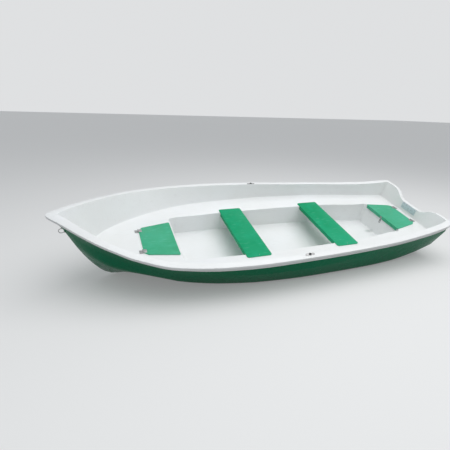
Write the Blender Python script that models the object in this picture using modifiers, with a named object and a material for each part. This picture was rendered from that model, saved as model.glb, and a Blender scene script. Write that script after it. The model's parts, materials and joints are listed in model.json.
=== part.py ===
"""Rowing boat: moulded hull and inner liner, two thwarts, two hinged lids and fittings.

Built upright on its keel, +X aft from the bow tip, then heeled onto one bottom panel as it
lies ashore. Metres, +Z up, origin under the centre of the heeled boat's box.
"""

from math import atan, atan2, cos, pi, radians, sin, tan

import bmesh
import bpy
from mathutils import Matrix, Vector

# Driving sizes of the hull
LENGTH = 4.27
BEAM = 1.59
DEPTH = 0.565
DEADRISE = radians(15.76)
HULL_WALL = 0.006
LINER_WALL = 0.005
GAP = 0.0003
SEAT_GAP = 0.0006
JOINT_GAP = 0.0004

# Where the hull's lines leave the stem, measured aft of the bow tip
STEM_KNUCKLE_X = 0.115
STEM_CHINE_X = 0.22
BILGE_REACH = 0.06

# Gunwale and its lip
GUNWALE_WIDTH = 0.063
GUNWALE_CROWN = 0.005
LIP_HEIGHT = 0.045
NOSE_SHARE = 0.48
NOSE_STEP = 0.004
NOSE_SLOPE_SHARE = 0.06

# Ledge round the inside, and the transom
LEDGE_HEIGHT = 0.3535
LEDGE_PITCH = atan(0.0148)
LEDGE_BOW_X = 0.28
LEDGE_STERN_X = 4.18
TRANSOM_RAKE = radians(10.7)
TRANSOM_THICKNESS = 0.02
RIM_THICKNESS = 0.05
NOTCH_DEPTH = 0.09
NOTCH_HALF_WIDTH = 0.14
NOTCH_SHOULDER_Y = 0.34
PAD_THICKNESS = 0.008
STERN_PIT_Y = 0.36

# Wells sunk in the ledge
PIT_BATTER = 0.015
PIT_CORNER = 0.015
FOOT_SHRINK = 0.014
WELL_FRONT_X = 1.161
WELL_FRONT_SLOPE = 0.072
WELL_BACK_X = 3.802
WELL_BACK_SLOPE = 0.027
WELL_HALF_WIDTH = 0.404
SOLE_HEIGHT = 0.166
BOW_LOCKER_FRONT_X = 0.85
BOW_LOCKER_BACK_X = 1.11
BOW_LOCKER_FRONT_HALF = 0.19
BOW_LOCKER_BACK_HALF = 0.24
BOW_LOCKER_FLOOR = 0.19
STERN_LOCKER_FRONT_X = 3.85
STERN_LOCKER_BACK_X = 4.09
STERN_LOCKER_FRONT_HALF = 0.25
STERN_LOCKER_BACK_HALF = 0.2
STERN_LOCKER_FLOOR = 0.25

# Thwarts
THWART_FRONT_X = 1.773
THWART_REAR_X = 2.825
THWART_WIDTH = 0.267
THWART_HALF_LENGTH = 0.463
THWART_THICKNESS = 0.008
FLANGE_WALL = 0.006
FLANGE_DEPTH = 0.036
FLANGE_HALF_LENGTH = 0.385
PANEL_CORNER = 0.014
PANEL_EDGE = 0.003

# Lids
LID_THICKNESS = 0.008
BOW_LID_FRONT_X = 0.813
BOW_LID_BACK_X = 1.149
BOW_LID_FRONT_HALF = 0.233
BOW_LID_BACK_HALF = 0.288
STERN_LID_FRONT_X = 3.787
STERN_LID_BACK_X = 4.125
STERN_LID_FRONT_HALF = 0.295
STERN_LID_BACK_HALF = 0.231
LID_CORNER = 0.04
LID_LIP_DEPTH = 0.033
LID_LIP_WALL = 0.006
LID_LIP_HALF_LENGTH = 0.276

# Hinges, with their pins across the boat
HINGE_WIDTH = 0.05
HINGE_KNUCKLE_SHARE = 0.4
KNUCKLE_RADIUS = 0.004
POST_HALF_WIDTH = 0.003
PIN_RADIUS = 0.002
LEAF_LENGTH = 0.03
LEAF_THICKNESS = 0.002
HINGE_STANDOFF = 0.006
BOW_HINGE_Y = 0.175
STERN_HINGE_Y = 0.16

# Hasp on the well's aft wall, and the staple on the lid's lip
HASP_WIDTH = 0.024
HASP_LENGTH = 0.056
HASP_THICKNESS = 0.002
HASP_TOP_DROP = 0.037
SLOT_WIDTH = 0.008
SLOT_LENGTH = 0.02
STAPLE_WIDTH = 0.03
STAPLE_HEIGHT = 0.024
STAPLE_THICKNESS = 0.002
STAPLE_BAR = 0.002
STAPLE_REACH = 0.012
STAPLE_SPREAD = 0.006

# Bow eye, rowlock sockets and the outboard plate
EYE_BAR = 0.0035
EYE_HEIGHT = 0.57
EYE_SPREAD = 0.022
EYE_REACH = 0.042
EYE_FOOT_RADIUS = 0.009
EYE_FOOT_THICKNESS = 0.004
SOCKET_X = 2.27
SOCKET_INSET = 0.046
SOCKET_PLATE_HALF_LENGTH = 0.05
SOCKET_PLATE_HALF_WIDTH = 0.013
SOCKET_PLATE_THICKNESS = 0.003
SOCKET_COLLAR_RADIUS = 0.012
SOCKET_COLLAR_HEIGHT = 0.006
SOCKET_TUBE_RADIUS = 0.01
SOCKET_BORE_RADIUS = 0.0065
SOCKET_LENGTH = 0.04
PLATE_HALF_WIDTH = 0.115
PLATE_HEIGHT = 0.076
PLATE_THICKNESS = 0.004
PLATE_DROP = 0.006
OVERRUN = 0.02
WELD_DISTANCE = 0.00005

# Steps of the lofts
SIDE_STEPS = 40
ARC_STEPS = 6
ROUND_STEPS = 24
INSET_SAMPLES = 240

# Lines of the hull: share of the line's run, share of half the beam, share of the depth
SHEER_SHARES = (
    (0.0, 0.0, 1.307), (0.0015, 0.028, 1.306), (0.006, 0.059, 1.301), (0.024, 0.151, 1.28),
    (0.06, 0.339, 1.222), (0.106, 0.546, 1.149), (0.165, 0.75, 1.077), (0.235, 0.9, 1.024),
    (0.33, 0.979, 1.005), (0.424, 1.0, 1.0), (0.54, 0.98, 0.995), (0.66, 0.941, 0.985), (0.776, 0.891, 0.986),
    (0.894, 0.811, 1.012), (0.953, 0.766, 1.048), (0.988, 0.735, 1.088), (1.0, 0.7, 1.106),
)
# Gunwale: share of its run, shares of its full width and of its full crown
GUNWALE_SHARES = (
    (0.0, 1.35, 2.8), (0.05, 1.15, 2.8), (0.12, 1.0, 2.5), (0.25, 1.0, 2.0), (0.4, 1.0, 1.0),
    (0.72, 1.0, 1.0), (0.86, 1.2, 1.0), (1.0, 1.1, 1.0),
)
# Height of the gunwale's lip: share of its run, share of its full height
LIP_SHARES = ((0.0, 0.54), (0.14, 0.57), (0.235, 0.69), (0.42, 1.0), (1.0, 1.0))
KNUCKLE_SHARES = (
    (0.0, 0.0, 1.06), (0.026, 0.132, 1.018), (0.062, 0.314, 0.965), (0.123, 0.541, 0.885),
    (0.196, 0.73, 0.814), (0.27, 0.836, 0.77), (0.343, 0.9, 0.735), (0.44, 0.925, 0.69),
    (0.538, 0.925, 0.697), (0.66, 0.896, 0.733), (0.757, 0.853, 0.77), (0.855, 0.799, 0.814),
    (0.94, 0.745, 0.867), (1.0, 0.705, 0.903),
)
# The chine's third column is its lift above the plane of the bottom panel
CHINE_SHARES = (
    (0.0, 0.0, 0.664), (0.025, 0.176, 0.584), (0.04, 0.252, 0.538), (0.063, 0.34, 0.458),
    (0.089, 0.415, 0.393), (0.137, 0.528, 0.319), (0.177, 0.591, 0.242), (0.228, 0.648, 0.133),
    (0.329, 0.723, 0.032), (0.43, 0.78, 0.0), (0.532, 0.808, 0.0), (0.658, 0.792, 0.0),
    (0.76, 0.765, 0.0), (0.836, 0.727, 0.011), (0.924, 0.667, 0.074), (1.0, 0.615, 0.2),
)
# Keel: share of its run, share of the depth
KEEL_SHARES = (
    (0.0, 0.664), (0.015, 0.47), (0.035, 0.265), (0.06, 0.078), (0.084, 0.01), (0.127, 0.0),
    (0.76, 0.0), (0.84, 0.011), (0.917, 0.062), (1.0, 0.204),
)
# Foot of the liner's wall: share of its run, share of half the beam
FOOT_SHARES = (
    (0.0, 0.0), (0.01, 0.07), (0.026, 0.176), (0.043, 0.27), (0.075, 0.396), (0.126, 0.54),
    (0.19, 0.67), (0.292, 0.81), (0.395, 0.855), (0.523, 0.881), (0.651, 0.855),
    (0.78, 0.801), (0.908, 0.715), (1.0, 0.63),
)
# Well: share of its length, share of its half width
WELL_SHARES = (
    (0.0, 0.953), (0.13, 0.965), (0.22, 1.0), (0.48, 1.01), (0.6, 0.995), (0.74, 0.97),
    (0.86, 0.88), (0.93, 0.812), (1.0, 0.804),
)
# Share of the way from the bow where the lofts take their sections
BOW_STATION_SHARES = (0.0, 0.0015, 0.006, 0.014, 0.024, 0.036, 0.048, 0.06, 0.075, 0.09, 0.106,
                      0.125)
LEDGE_ROW_SHARES = (0.25, 0.5, 0.75)
FLOOR_ROW_SHARES = (0.78, 0.6, 0.445, 0.385, 0.2)

COLOURS = {
    "hull": ((0.012, 0.085, 0.045), 0.35, 0.0),
    "liner": ((0.72, 0.72, 0.68), 0.4, 0.0),
    "panel": ((0.03, 0.36, 0.2), 0.35, 0.0),
    "steel": ((0.5, 0.5, 0.5), 0.3, 1.0),
    "plate": ((0.4, 0.41, 0.42), 0.45, 0.6),
    "socket": ((0.05, 0.05, 0.05), 0.5, 0.0),
}


def clear_scene():
    for old in list(bpy.data.objects):
        bpy.data.objects.remove(old, do_unlink=True)


def curve_value(table, share, column):
    """Value of one column at a share of the run, by a cubic that never overshoots."""
    shares = [row[0] for row in table]
    values = [row[column] for row in table]
    last = len(table) - 1
    slopes = [(values[i + 1] - values[i]) / (shares[i + 1] - shares[i]) for i in range(last)]
    tangents = [slopes[0]]
    for before, after in zip(slopes, slopes[1:]):
        same_way = before * after > 0
        tangents.append(2 * before * after / (before + after) if same_way else 0.0)
    tangents.append(slopes[-1])
    i = 0
    while i < last - 1 and share > shares[i + 1]:
        i += 1
    span = shares[i + 1] - shares[i]
    t = min(max((share - shares[i]) / span, 0.0), 1.0)
    rise = t * t * (3 - 2 * t)
    return (values[i] * (1 - rise) + values[i + 1] * rise
            + span * tangents[i] * t * (1 - t) ** 2 - span * tangents[i + 1] * t * t * (1 - t))


def ledge_z(x):
    return LEDGE_HEIGHT + x * tan(LEDGE_PITCH)


def inner_transom_x(z):
    return LEDGE_STERN_X + (z - ledge_z(LEDGE_STERN_X)) * tan(TRANSOM_RAKE)


def hull_transom_x(z):
    return inner_transom_x(z) + TRANSOM_THICKNESS


def sheer_point(share):
    return Vector((share * LENGTH, curve_value(SHEER_SHARES, share, 1) * BEAM / 2,
                   curve_value(SHEER_SHARES, share, 2) * DEPTH))


def knuckle_point(share):
    z_end = KNUCKLE_SHARES[-1][2] * DEPTH
    x = STEM_KNUCKLE_X + share * (hull_transom_x(z_end) - STEM_KNUCKLE_X)
    return Vector((x, curve_value(KNUCKLE_SHARES, share, 1) * BEAM / 2,
                   curve_value(KNUCKLE_SHARES, share, 2) * DEPTH))


def chine_point(share):
    y_end = CHINE_SHARES[-1][1] * BEAM / 2
    z_end = y_end * tan(DEADRISE) + CHINE_SHARES[-1][2] * DEPTH
    x = STEM_CHINE_X + share * (hull_transom_x(z_end) - STEM_CHINE_X)
    y = curve_value(CHINE_SHARES, share, 1) * BEAM / 2
    return Vector((x, y, y * tan(DEADRISE) + curve_value(CHINE_SHARES, share, 2) * DEPTH))


def keel_point(share):
    z_end = KEEL_SHARES[-1][1] * DEPTH
    x = STEM_CHINE_X + share * (hull_transom_x(z_end) - STEM_CHINE_X)
    return Vector((x, 0.0, curve_value(KEEL_SHARES, share, 1) * DEPTH))


def sheer_along(share):
    """Direction of the sheer, straight across at the bow tip."""
    if not share:
        return Vector((0.0, 1.0, 0.0))
    step = 1 / INSET_SAMPLES ** 2
    return (sheer_point(min(share + step, 1.0)) - sheer_point(max(share - step, 0.0))).normalized()


def inset_point(share, inset, drop):
    """A point of the sheer moved inboard in plan and lowered."""
    point = sheer_point(share)
    along = sheer_along(share).to_2d().normalized()
    return Vector((point.x + along.y * inset, point.y - along.x * inset, point.z - drop))


def inset_sheer(inset_at, rise_at, x_end, shares):
    """The inset sheer as a chain that starts on the centreline."""
    chain = []
    for share in shares:
        moved = inset_point(share, inset_at(share), -rise_at(share))
        if chain and moved.x <= chain[-1].x:
            continue
        if moved.y > 0 and chain and chain[-1].y < 0:
            back = moved.y / (moved.y - chain[-1].y)
            chain = [moved.lerp(chain[-1], back)]
        if moved.y < 0:
            chain = []
        chain.append(moved)
    chain[0].y = 0.0
    return [point for point in chain if point.x < x_end] + [chain_at(chain, x_end)]


def chain_at(chain, x):
    for a, b in zip(chain, chain[1:]):
        if a.x <= x <= b.x:
            return a.lerp(b, (x - a.x) / (b.x - a.x))
    return chain[-1].copy() if x > chain[-1].x else chain[0].copy()


def chain_share(chain, share):
    return chain_at(chain, chain[0].x + share * (chain[-1].x - chain[0].x))


def gunwale_width(share):
    return curve_value(GUNWALE_SHARES, share, 1) * GUNWALE_WIDTH


def gunwale_rise(share):
    return curve_value(GUNWALE_SHARES, share, 2) * GUNWALE_CROWN


def lip_height(share):
    return curve_value(LIP_SHARES, share, 1) * LIP_HEIGHT


def sheer_end():
    return sheer_point(1.0)


def transom_top(y):
    """Height of the transom's top edge: a notch with S-shaped shoulders."""
    t = min(max((abs(y) - NOTCH_HALF_WIDTH) / (NOTCH_SHOULDER_Y - NOTCH_HALF_WIDTH), 0.0), 1.0)
    return sheer_end().z + GUNWALE_CROWN - NOTCH_DEPTH * (1 - t * t * (3 - 2 * t))


def stations():
    rest = SIDE_STEPS - len(BOW_STATION_SHARES)
    start = BOW_STATION_SHARES[-1]
    return list(BOW_STATION_SHARES) + [start + (1 - start) * (i + 1) / rest for i in range(rest)]


def hull_section(share, top_chain):
    """Half section from the top edge down to the keel."""
    top = chain_share(top_chain, share)
    knuckle = knuckle_point(share)
    chine = chine_point(share)
    keel = keel_point(share)
    reach = min(BILGE_REACH, (chine - keel).length / 2, (knuckle - chine).length / 2)
    outer = chine.lerp(knuckle, reach / max((knuckle - chine).length, WELD_DISTANCE))
    inner = chine.lerp(keel, reach / max((keel - chine).length, WELD_DISTANCE))
    points = [top, top.lerp(knuckle, 1 / 2), knuckle, knuckle.lerp(outer, 1 / 2)]
    for i in range(ARC_STEPS + 1):
        t = i / ARC_STEPS
        points.append(outer * (1 - t) ** 2 + chine * (2 * t * (1 - t)) + inner * t ** 2)
    points += [inner.lerp(keel, 1 / 3), inner.lerp(keel, 2 / 3), keel]
    return points


def grid_faces(rows, flip):
    """Faces over rows of vertices, each row from outboard to the centreline."""
    faces = []
    for fore, aft in zip(rows, rows[1:]):
        for j in range(len(fore) - 1):
            quad = [fore[j], fore[j + 1], aft[j + 1], aft[j]]
            faces.append(list(reversed(quad)) if flip else quad)
    return faces


def new_object(name, mesh, material, parent, collection):
    obj = bpy.data.objects.new(name, mesh)
    collection.objects.link(obj)
    obj.parent = parent
    if material:
        mesh.materials.append(material)
    return obj


def surface_mesh(name, rows, faces_of):
    """A welded mesh from rows of points; rows may share places."""
    work = bmesh.new()
    verts = [[work.verts.new(point) for point in row] for row in rows]
    for face in faces_of(verts):
        work.faces.new(face)
    bmesh.ops.remove_doubles(work, verts=work.verts, dist=WELD_DISTANCE)
    bmesh.ops.dissolve_degenerate(work, edges=work.edges, dist=WELD_DISTANCE)
    mesh = bpy.data.meshes.new(name)
    work.to_mesh(mesh)
    work.free()
    return mesh


def mirror_and_thicken(obj, thickness):
    mirror = obj.modifiers.new("Mirror", "MIRROR")
    mirror.use_axis = (False, True, False)
    mirror.merge_threshold = WELD_DISTANCE
    mirror.use_clip = True
    wall = obj.modifiers.new("Wall", "SOLIDIFY")
    wall.thickness = thickness
    wall.offset = -1
    wall.use_even_offset = True
    wall.use_rim = True


def make_hull(material, parent, collection):
    inset = NOSE_STEP + LINER_WALL + JOINT_GAP
    top_end = hull_transom_x(sheer_end().z)
    shares = [ledge_share(place[0]) for place in liner_stations()]
    drop = LINER_WALL + JOINT_GAP + HULL_WALL
    top_chain = inset_sheer(lambda share: inset, lambda share: -drop, top_end, shares)
    rows = [hull_section(share, top_chain) for share in stations()]
    last = rows[-1]
    edge = []
    for j in range(len(last)):
        y = last[0].y * (1 - j / (len(last) - 1))
        z = min(transom_top(y) - GUNWALE_CROWN - drop, last[0].z)
        edge.append(Vector((hull_transom_x(z), y, z)) if j else last[0].copy())
    rows.append(edge)
    mesh = surface_mesh("hull", rows, lambda verts: grid_faces(verts, True))
    obj = new_object("hull", mesh, material, parent, collection)
    mirror_and_thicken(obj, HULL_WALL)
    return obj


def pits():
    """Wells of the liner: ends at the ledge, ends at the floor, half width, floor height."""
    well_length = WELL_BACK_X - WELL_FRONT_X

    def well_half(x):
        return curve_value(WELL_SHARES, (x - WELL_FRONT_X) / well_length, 1) * WELL_HALF_WIDTH

    def taper(x0, y0, x1, y1):
        return lambda x: y0 + (y1 - y0) * (x - x0) / (x1 - x0)

    bow_half = taper(BOW_LOCKER_FRONT_X, BOW_LOCKER_FRONT_HALF,
                     BOW_LOCKER_BACK_X, BOW_LOCKER_BACK_HALF)
    stern_half = taper(STERN_LOCKER_FRONT_X, STERN_LOCKER_FRONT_HALF,
                       STERN_LOCKER_BACK_X, STERN_LOCKER_BACK_HALF)
    return (
        (BOW_LOCKER_FRONT_X, PIT_BATTER, BOW_LOCKER_BACK_X, PIT_BATTER, bow_half,
         BOW_LOCKER_FLOOR, 3),
        (WELL_FRONT_X, WELL_FRONT_SLOPE, WELL_BACK_X, WELL_BACK_SLOPE, well_half,
         SOLE_HEIGHT, 18),
        (STERN_LOCKER_FRONT_X, PIT_BATTER, STERN_LOCKER_BACK_X, PIT_BATTER, stern_half,
         STERN_LOCKER_FLOOR, 3),
    )


def liner_stations():
    """Places along the ledge: x, half width of the pit there or None, floor height or None."""
    run = LEDGE_STERN_X - LEDGE_BOW_X
    places = []
    for share in BOW_STATION_SHARES[:-1]:
        places.append((LEDGE_BOW_X + share * run, None, None))
    for front, front_slope, back, back_slope, half, floor, steps in pits():
        foot_front = front + front_slope
        foot_back = back - back_slope
        corner_front = foot_front + PIT_CORNER
        corner_back = foot_back - PIT_CORNER
        places.append((front, half(front) - PIT_CORNER, None))
        places.append((foot_front, half(foot_front), floor))
        for i in range(steps + 1):
            x = corner_front + (corner_back - corner_front) * i / steps
            places.append((x, half(x), floor))
        places.append((foot_back, half(foot_back), floor))
        places.append((back, half(back) - PIT_CORNER, None))
    places.append((LEDGE_STERN_X, STERN_PIT_Y, None))
    return places


def ledge_share(x):
    return (x - LEDGE_BOW_X) / (LEDGE_STERN_X - LEDGE_BOW_X)


def liner_section(place, rim_chain, ends):
    x, pit_y, floor = place
    share = ledge_share(x)
    sheer = sheer_point(share)
    rim = chain_share(rim_chain, share)
    foot_y = curve_value(FOOT_SHARES, share, 1) * BEAM / 2
    ledge = ledge_z(x)
    if pit_y is None:
        pit_y = foot_y / 2
    foot = Vector((x, foot_y, ledge))
    edge = Vector((x, pit_y, ledge))
    inner_y = pit_y - FOOT_SHRINK
    if floor and ends:
        inner_y = pit_y - FOOT_SHRINK - PIT_CORNER
    if inner_y < 0:
        inner_y = 0.0
    bottom = Vector((x, inner_y, floor if floor else ledge))
    lip = lip_height(share)
    nose = lip * NOSE_SHARE
    strip = nose + lip * NOSE_SLOPE_SHARE
    low, high = [inset_point(share, NOSE_STEP, drop) for drop in (lip, strip)]
    if share == 1:
        low.x, high.x = sheer.x - NOSE_STEP, sheer.x - NOSE_STEP
    section = [low, high, sheer - Vector((0.0, 0.0, nose)), sheer, rim, foot]
    section += [foot.lerp(edge, t) for t in LEDGE_ROW_SHARES]
    section += [edge, bottom]
    section += [Vector((x, inner_y * t, bottom.z)) for t in FLOOR_ROW_SHARES]
    section.append(Vector((x, 0.0, bottom.z)))
    return section


def make_liner(material, parent, collection, cutters):
    rim_end = inner_transom_x(sheer_end().z + GUNWALE_CROWN)
    samples = [(i / INSET_SAMPLES) ** 1.5 for i in range(INSET_SAMPLES + 1)]
    rim_chain = inset_sheer(gunwale_width, gunwale_rise, rim_end, samples)
    places = liner_stations()
    rows = []
    for i, place in enumerate(places):
        floor = place[2]
        ends = floor is not None and (places[i - 1][2] is None or places[i + 1][2] is None)
        rows.append(liner_section(place, rim_chain, ends))
    foot_row = 5
    columns = rows[-1][foot_row:]
    corners = list(reversed(rows[-1][:foot_row]))
    around = [[corner] for corner in corners]
    for point in columns[1:]:
        z = transom_top(point.y)
        pad = PAD_THICKNESS if point.y < NOTCH_HALF_WIDTH else 0.0
        inner = inner_transom_x(z)
        outer = inner + RIM_THICKNESS
        edge_z = z - GUNWALE_CROWN
        nose = LIP_HEIGHT * NOSE_SHARE
        strip = nose + LIP_HEIGHT * NOSE_SLOPE_SHARE
        across = ((inner - pad, z), (outer, edge_z), (outer, edge_z - nose),
                  (outer - NOSE_STEP, edge_z - strip), (outer - NOSE_STEP, edge_z - LIP_HEIGHT))
        for row, (x, height) in zip(around, across):
            row.append(Vector((x, point.y, height)))
    rows += around

    def faces_of(verts):
        count = len(places)
        faces = grid_faces(verts[:count], False)
        stern = [verts[count - 1][foot_row:]]
        for extra, corner in zip(verts[count:], reversed(verts[count - 1][:foot_row])):
            stern.append([corner] + extra[1:])
        return faces + grid_faces(stern, False)

    mesh = surface_mesh("liner", rows, faces_of)
    loose = bmesh.new()
    loose.from_mesh(mesh)
    spare = [vert for vert in loose.verts if not vert.link_faces]
    bmesh.ops.delete(loose, geom=spare, context="VERTS")
    loose.to_mesh(mesh)
    loose.free()
    obj = new_object("liner", mesh, material, parent, collection)
    mirror_and_thicken(obj, LINER_WALL)
    for cutter in cutters:
        cut = obj.modifiers.new(cutter.name, "BOOLEAN")
        cut.operation = "DIFFERENCE"
        cut.solver = "EXACT"
        cut.object = cutter
    return obj


def prism_mesh(name, outline, z0, z1):
    work = bmesh.new()
    low = [work.verts.new((x, y, z0)) for x, y in outline]
    face = work.faces.new(low)
    if face.normal.z > 0:
        face.normal_flip()
    face.normal_update()
    grown = bmesh.ops.extrude_face_region(work, geom=[face])
    moved = [item for item in grown["geom"] if isinstance(item, bmesh.types.BMVert)]
    bmesh.ops.translate(work, verts=moved, vec=(0.0, 0.0, z1 - z0))
    bmesh.ops.recalc_face_normals(work, faces=work.faces)
    mesh = bpy.data.meshes.new(name)
    work.to_mesh(mesh)
    work.free()
    return mesh


def box_mesh(name, x0, x1, y0, y1, z0, z1):
    return prism_mesh(name, ((x0, y0), (x1, y0), (x1, y1), (x0, y1)), z0, z1)


def cylinder_mesh(name, radius, z0, z1):
    outline = [(radius * cos(2 * pi * i / ROUND_STEPS), radius * sin(2 * pi * i / ROUND_STEPS))
               for i in range(ROUND_STEPS)]
    return prism_mesh(name, outline, z0, z1)


def helper(name, mesh, parent, collection):
    obj = new_object(name, mesh, None, parent, collection)
    obj.hide_render = True
    obj.display_type = "WIRE"
    return obj


def combine(obj, operation, tools):
    for tool in tools:
        step = obj.modifiers.new(tool.name, "BOOLEAN")
        step.operation = operation
        step.solver = "EXACT"
        step.object = tool


def round_edges(obj, width):
    bevel = obj.modifiers.new("Edge", "BEVEL")
    bevel.width = width
    bevel.segments = 2
    bevel.limit_method = "ANGLE"
    bevel.angle_limit = radians(50)


def chamfered(x0, half0, x1, half1, cut0, cut1):
    """Outline of a tapered panel whose corners are cut off at each end."""
    return (
        (x0, half0 - cut0), (x0, cut0 - half0),
        (x0 + cut0, -half0), (x1 - cut1, -half1),
        (x1, cut1 - half1), (x1, half1 - cut1),
        (x1 - cut1, half1), (x0 + cut0, half0),
    )


def make_thwart(name, x0, material, parent, collection, cutters):
    """A moulded seat: a tray turned over, with a flange down its front and back."""
    x1 = x0 + THWART_WIDTH
    top = GAP + THWART_THICKNESS
    outline = chamfered(x0, THWART_HALF_LENGTH, x1, THWART_HALF_LENGTH, PANEL_CORNER, PANEL_CORNER)
    obj = new_object(name, prism_mesh(name, outline, GAP - FLANGE_DEPTH, top), material,
                     parent, collection)
    round_edges(obj, PANEL_EDGE)
    under = helper(name + "_hollow", box_mesh(
        name + "_hollow", x0 + FLANGE_WALL, x1 - FLANGE_WALL, -THWART_HALF_LENGTH - OVERRUN,
        THWART_HALF_LENGTH + OVERRUN, -FLANGE_DEPTH - OVERRUN, GAP), parent, cutters)
    ends = []
    for side in (-1, 1):
        near = side * FLANGE_HALF_LENGTH
        far = side * (THWART_HALF_LENGTH + OVERRUN)
        ends.append(helper(name + "_end" + str(side + 1), box_mesh(
            name + "_end", x0 - OVERRUN, x1 + OVERRUN, min(near, far), max(near, far),
            -FLANGE_DEPTH - OVERRUN, GAP), parent, cutters))
    combine(obj, "DIFFERENCE", [under] + ends)
    return obj


def make_bow_lid(material, parent, collection):
    outline = chamfered(BOW_LID_FRONT_X, BOW_LID_FRONT_HALF, BOW_LID_BACK_X, BOW_LID_BACK_HALF,
                        LID_CORNER, LID_CORNER / 4)
    mesh = prism_mesh("bow_lid", outline, GAP, GAP + LID_THICKNESS)
    obj = new_object("bow_lid", mesh, material, parent, collection)
    round_edges(obj, PANEL_EDGE)
    return obj


def make_stern_lid(material, parent, collection, cutters):
    """A flat lid whose front edge turns down over the well's aft wall."""
    outline = chamfered(STERN_LID_FRONT_X, STERN_LID_FRONT_HALF, STERN_LID_BACK_X,
                        STERN_LID_BACK_HALF, LID_CORNER / 4, LID_CORNER)
    mesh = prism_mesh("stern_lid", outline, GAP - LID_LIP_DEPTH, GAP + LID_THICKNESS)
    obj = new_object("stern_lid", mesh, material, parent, collection)
    round_edges(obj, PANEL_EDGE)
    under = helper("stern_lid_under", box_mesh(
        "stern_lid_under", STERN_LID_FRONT_X + LID_LIP_WALL, STERN_LID_BACK_X + OVERRUN,
        -STERN_LID_FRONT_HALF - OVERRUN, STERN_LID_FRONT_HALF + OVERRUN,
        -LID_LIP_DEPTH - OVERRUN, GAP), parent, cutters)
    ends = []
    for side in (-1, 1):
        near = side * LID_LIP_HALF_LENGTH
        far = side * (STERN_LID_FRONT_HALF + OVERRUN)
        ends.append(helper("stern_lid_end" + str(side + 1), box_mesh(
            "stern_lid_end", STERN_LID_FRONT_X - OVERRUN, STERN_LID_BACK_X, min(near, far),
            max(near, far), -LID_LIP_DEPTH - OVERRUN, GAP), parent, cutters))
    combine(obj, "DIFFERENCE", [under] + ends)
    return obj


def make_hinge(name, axis_x, axis_y, way, materials, parent, collection, cutters):
    """One hinge; way is 1 where the lid lies aft of the pin and -1 where it lies ahead."""
    axis_z = GAP + LID_THICKNESS + GAP + KNUCKLE_RADIUS
    place = Matrix.Translation((axis_x, axis_y, axis_z)) @ Matrix.Rotation(
        0.0 if way > 0 else pi, 4, "Z")
    half = HINGE_WIDTH / 2
    inner_half = half * HINGE_KNUCKLE_SHARE
    turn = Matrix.Rotation(pi / 2, 4, "X")
    leaf_low = -KNUCKLE_RADIUS
    lid_part = box_mesh(name + "_lid", HINGE_STANDOFF, HINGE_STANDOFF + LEAF_LENGTH, -half, half,
                        leaf_low, leaf_low + LEAF_THICKNESS)
    lid_leaf = new_object(name + "_lid_leaf", lid_part, materials, parent, collection)
    neck = helper(name + "_neck", box_mesh(
        name + "_neck", 0.0, HINGE_STANDOFF + LEAF_LENGTH / 2, -inner_half, inner_half,
        leaf_low, leaf_low + LEAF_THICKNESS), parent, cutters)
    barrel_mesh = cylinder_mesh(name + "_barrel", KNUCKLE_RADIUS, -inner_half, inner_half)
    barrel_mesh.transform(turn)
    barrel = helper(name + "_barrel", barrel_mesh, parent, cutters)
    bore_mesh = cylinder_mesh(name + "_bore", PIN_RADIUS + GAP, -half, half)
    bore_mesh.transform(turn)
    bore = helper(name + "_bore", bore_mesh, parent, cutters)
    combine(lid_leaf, "UNION", [neck, barrel])
    combine(lid_leaf, "DIFFERENCE", [bore])

    floor = GAP - axis_z
    base = box_mesh(name + "_deck", -KNUCKLE_RADIUS - LEAF_LENGTH, KNUCKLE_RADIUS,
                    -half, half, floor, floor + LEAF_THICKNESS)
    deck_leaf = new_object(name + "_deck_leaf", base, materials, parent, collection)
    parts = []
    for side in (-1, 1):
        near = side * (inner_half + GAP)
        far = side * half
        low, high = min(near, far), max(near, far)
        post_mesh = box_mesh(name + "_post", -POST_HALF_WIDTH, POST_HALF_WIDTH, low + GAP,
                             high - GAP, floor + GAP, 0.0)
        parts.append(helper(name + "_post" + str(side + 1), post_mesh, parent, cutters))
        knuckle_mesh = cylinder_mesh(name + "_knuckle", KNUCKLE_RADIUS, low, high)
        knuckle_mesh.transform(turn)
        parts.append(helper(name + "_knuckle" + str(side + 1), knuckle_mesh, parent, cutters))
    pin_mesh = cylinder_mesh(name + "_pin", PIN_RADIUS, -half + GAP, half - GAP)
    pin_mesh.transform(turn)
    parts.append(helper(name + "_pin", pin_mesh, parent, cutters))
    combine(deck_leaf, "UNION", parts)
    for obj in [lid_leaf, deck_leaf, neck, barrel, bore] + parts:
        obj.matrix_local = place
    return lid_leaf, deck_leaf


def tube_object(name, points, radius, material, parent, collection):
    """A round bar bent along a path, as one closed body."""
    curve = bpy.data.curves.new(name, "CURVE")
    curve.dimensions = "3D"
    curve.bevel_depth = radius
    curve.bevel_resolution = 3
    curve.use_fill_caps = True
    spline = curve.splines.new("POLY")
    spline.points.add(len(points) - 1)
    for knot, point in zip(spline.points, points):
        knot.co = (*point, 1.0)
    temp = bpy.data.objects.new(name + "_path", curve)
    mesh = bpy.data.meshes.new_from_object(temp)
    bpy.data.objects.remove(temp, do_unlink=True)
    work = bmesh.new()
    work.from_mesh(mesh)
    bmesh.ops.remove_doubles(work, verts=work.verts, dist=WELD_DISTANCE)
    bmesh.ops.recalc_face_normals(work, faces=work.faces)
    work.to_mesh(mesh)
    work.free()
    mesh.materials.clear()
    mesh.name = name
    return new_object(name, mesh, material, parent, collection)


def bow_path(spread, reach, start):
    """Half round loop in the XZ plane: out along -X, round, and back."""
    points = [Vector((start, 0.0, spread))]
    straight = reach - spread
    for i in range(ARC_STEPS * 2 + 1):
        angle = pi / 2 + pi * i / (ARC_STEPS * 2)
        points.append(Vector((-straight + spread * cos(angle), 0.0, spread * sin(angle))))
    points.append(Vector((start, 0.0, -spread)))
    return points


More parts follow.
